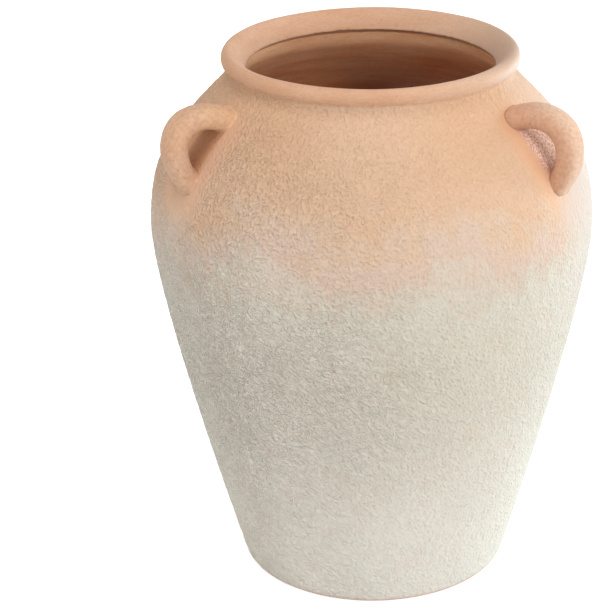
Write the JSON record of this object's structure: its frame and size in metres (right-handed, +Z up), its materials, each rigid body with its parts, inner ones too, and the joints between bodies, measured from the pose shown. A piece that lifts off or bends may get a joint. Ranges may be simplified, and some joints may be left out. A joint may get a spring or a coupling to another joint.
{
  "type": "terracotta vase",
  "caption": "Wide-bellied terracotta jar with a rolled rim and strap handles round the shoulder, coated in a coarse slip that fades from terracotta to chalky white.",
  "frame": {"origin": "centre of the flat underside", "axes": "+Z up along the axis of the turned body, -Y to the front between the two front handles, +Y through the back handle"},
  "size_m": [0.2596, 0.263, 0.32],
  "materials": {
    "chalk_slip": "matte",
    "shoulder_slip": "matte",
    "bare_terracotta": "matte"
  },
  "bodies": {
    "root": {"base": "chalk_slip", "lower_wall": "chalk_slip", "shoulder_wall": "shoulder_slip", "rim_ring": "bare_terracotta", "handle_front_right": "bare_terracotta", "handle_back": "bare_terracotta", "handle_front_left": "bare_terracotta"}
  },
  "joints": []
}
